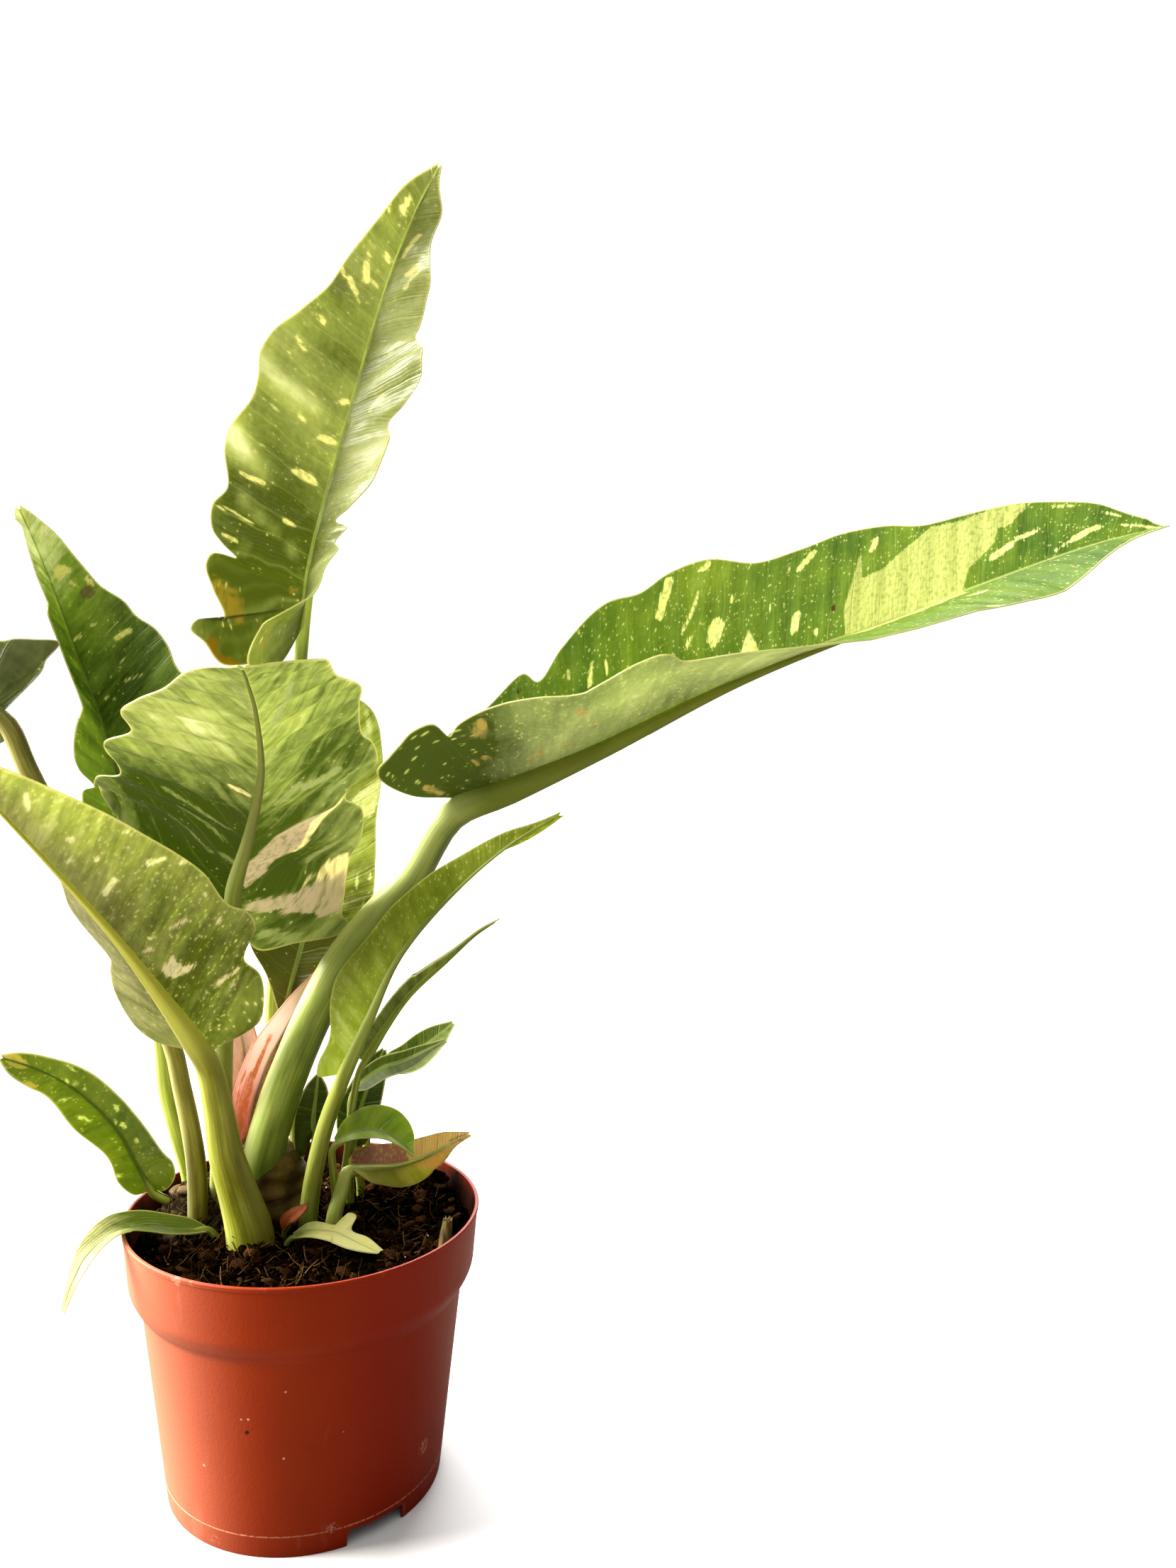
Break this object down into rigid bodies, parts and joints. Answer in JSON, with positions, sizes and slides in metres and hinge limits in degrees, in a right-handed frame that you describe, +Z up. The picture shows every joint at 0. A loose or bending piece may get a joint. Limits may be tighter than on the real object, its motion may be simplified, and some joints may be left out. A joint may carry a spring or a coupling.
{
  "type": "ring of fire philodendron in its pot",
  "caption": "Variegated ring of fire philodendron with long serrated leaves, a salmon sheath and small side shoots, in a round terracotta plastic nursery pot filled with soil.",
  "frame": {"origin": "centre of the pot's underside, on the surface that the pot stands on", "axes": "+Z up along the pot's axis, +X towards the side that the longest leaf points to, +Y away from the side that the picture was taken from"},
  "size_m": [0.5831, 0.2861, 0.5746],
  "materials": {
    "pot_terracotta": "satin",
    "soil_dark": "loose potting mix of bark and coir",
    "crown_bark": "living stem tissue, rough",
    "root": "living root tissue, rough",
    "leaf_green": "living leaf, satin, flecked and patched with cream",
    "leaf_underside": "living leaf seen from its paler underside, satin",
    "leaf_shaded": "living leaf, dark green, satin",
    "leaf_young": "living leaf, bright young green, satin",
    "leaf_cream": "living leaf, mostly cream, satin",
    "leaf_dry": "yellowing leaf, dry and matte",
    "sheath_pink": "leaf sheath, salmon pink, satin",
    "sheath_brown": "drying leaf sheath, matte",
    "bract_red": "dry bract, matte"
  },
  "bodies": {
    "root": {"pot": "pot_terracotta", "soil": "soil_dark", "stem_base": "crown_bark", "root_stub": "root", "leaf_tall": "leaf_green", "leaf_front": "leaf_underside", "leaf_left": "leaf_underside", "leaf_back": "leaf_green", "leaf_long": "leaf_green", "leaf_side": "leaf_shaded", "leaf_low": "leaf_green", "leaf_narrow": "leaf_green", "leaf_upright": "leaf_young", "leaf_sliver": "leaf_shaded", "leaf_right_lower": "leaf_shaded", "leaf_right_upper": "leaf_green", "leaf_right_dark": "leaf_green", "leaf_right_round": "leaf_young", "leaf_yellowing": "leaf_dry", "leaf_behind": "leaf_shaded", "leaf_over_rim": "leaf_cream", "leaf_on_soil": "leaf_cream", "sheath_pink": "sheath_pink", "sheath_brown": "sheath_brown", "bract_red": "bract_red"}
  },
  "joints": []
}
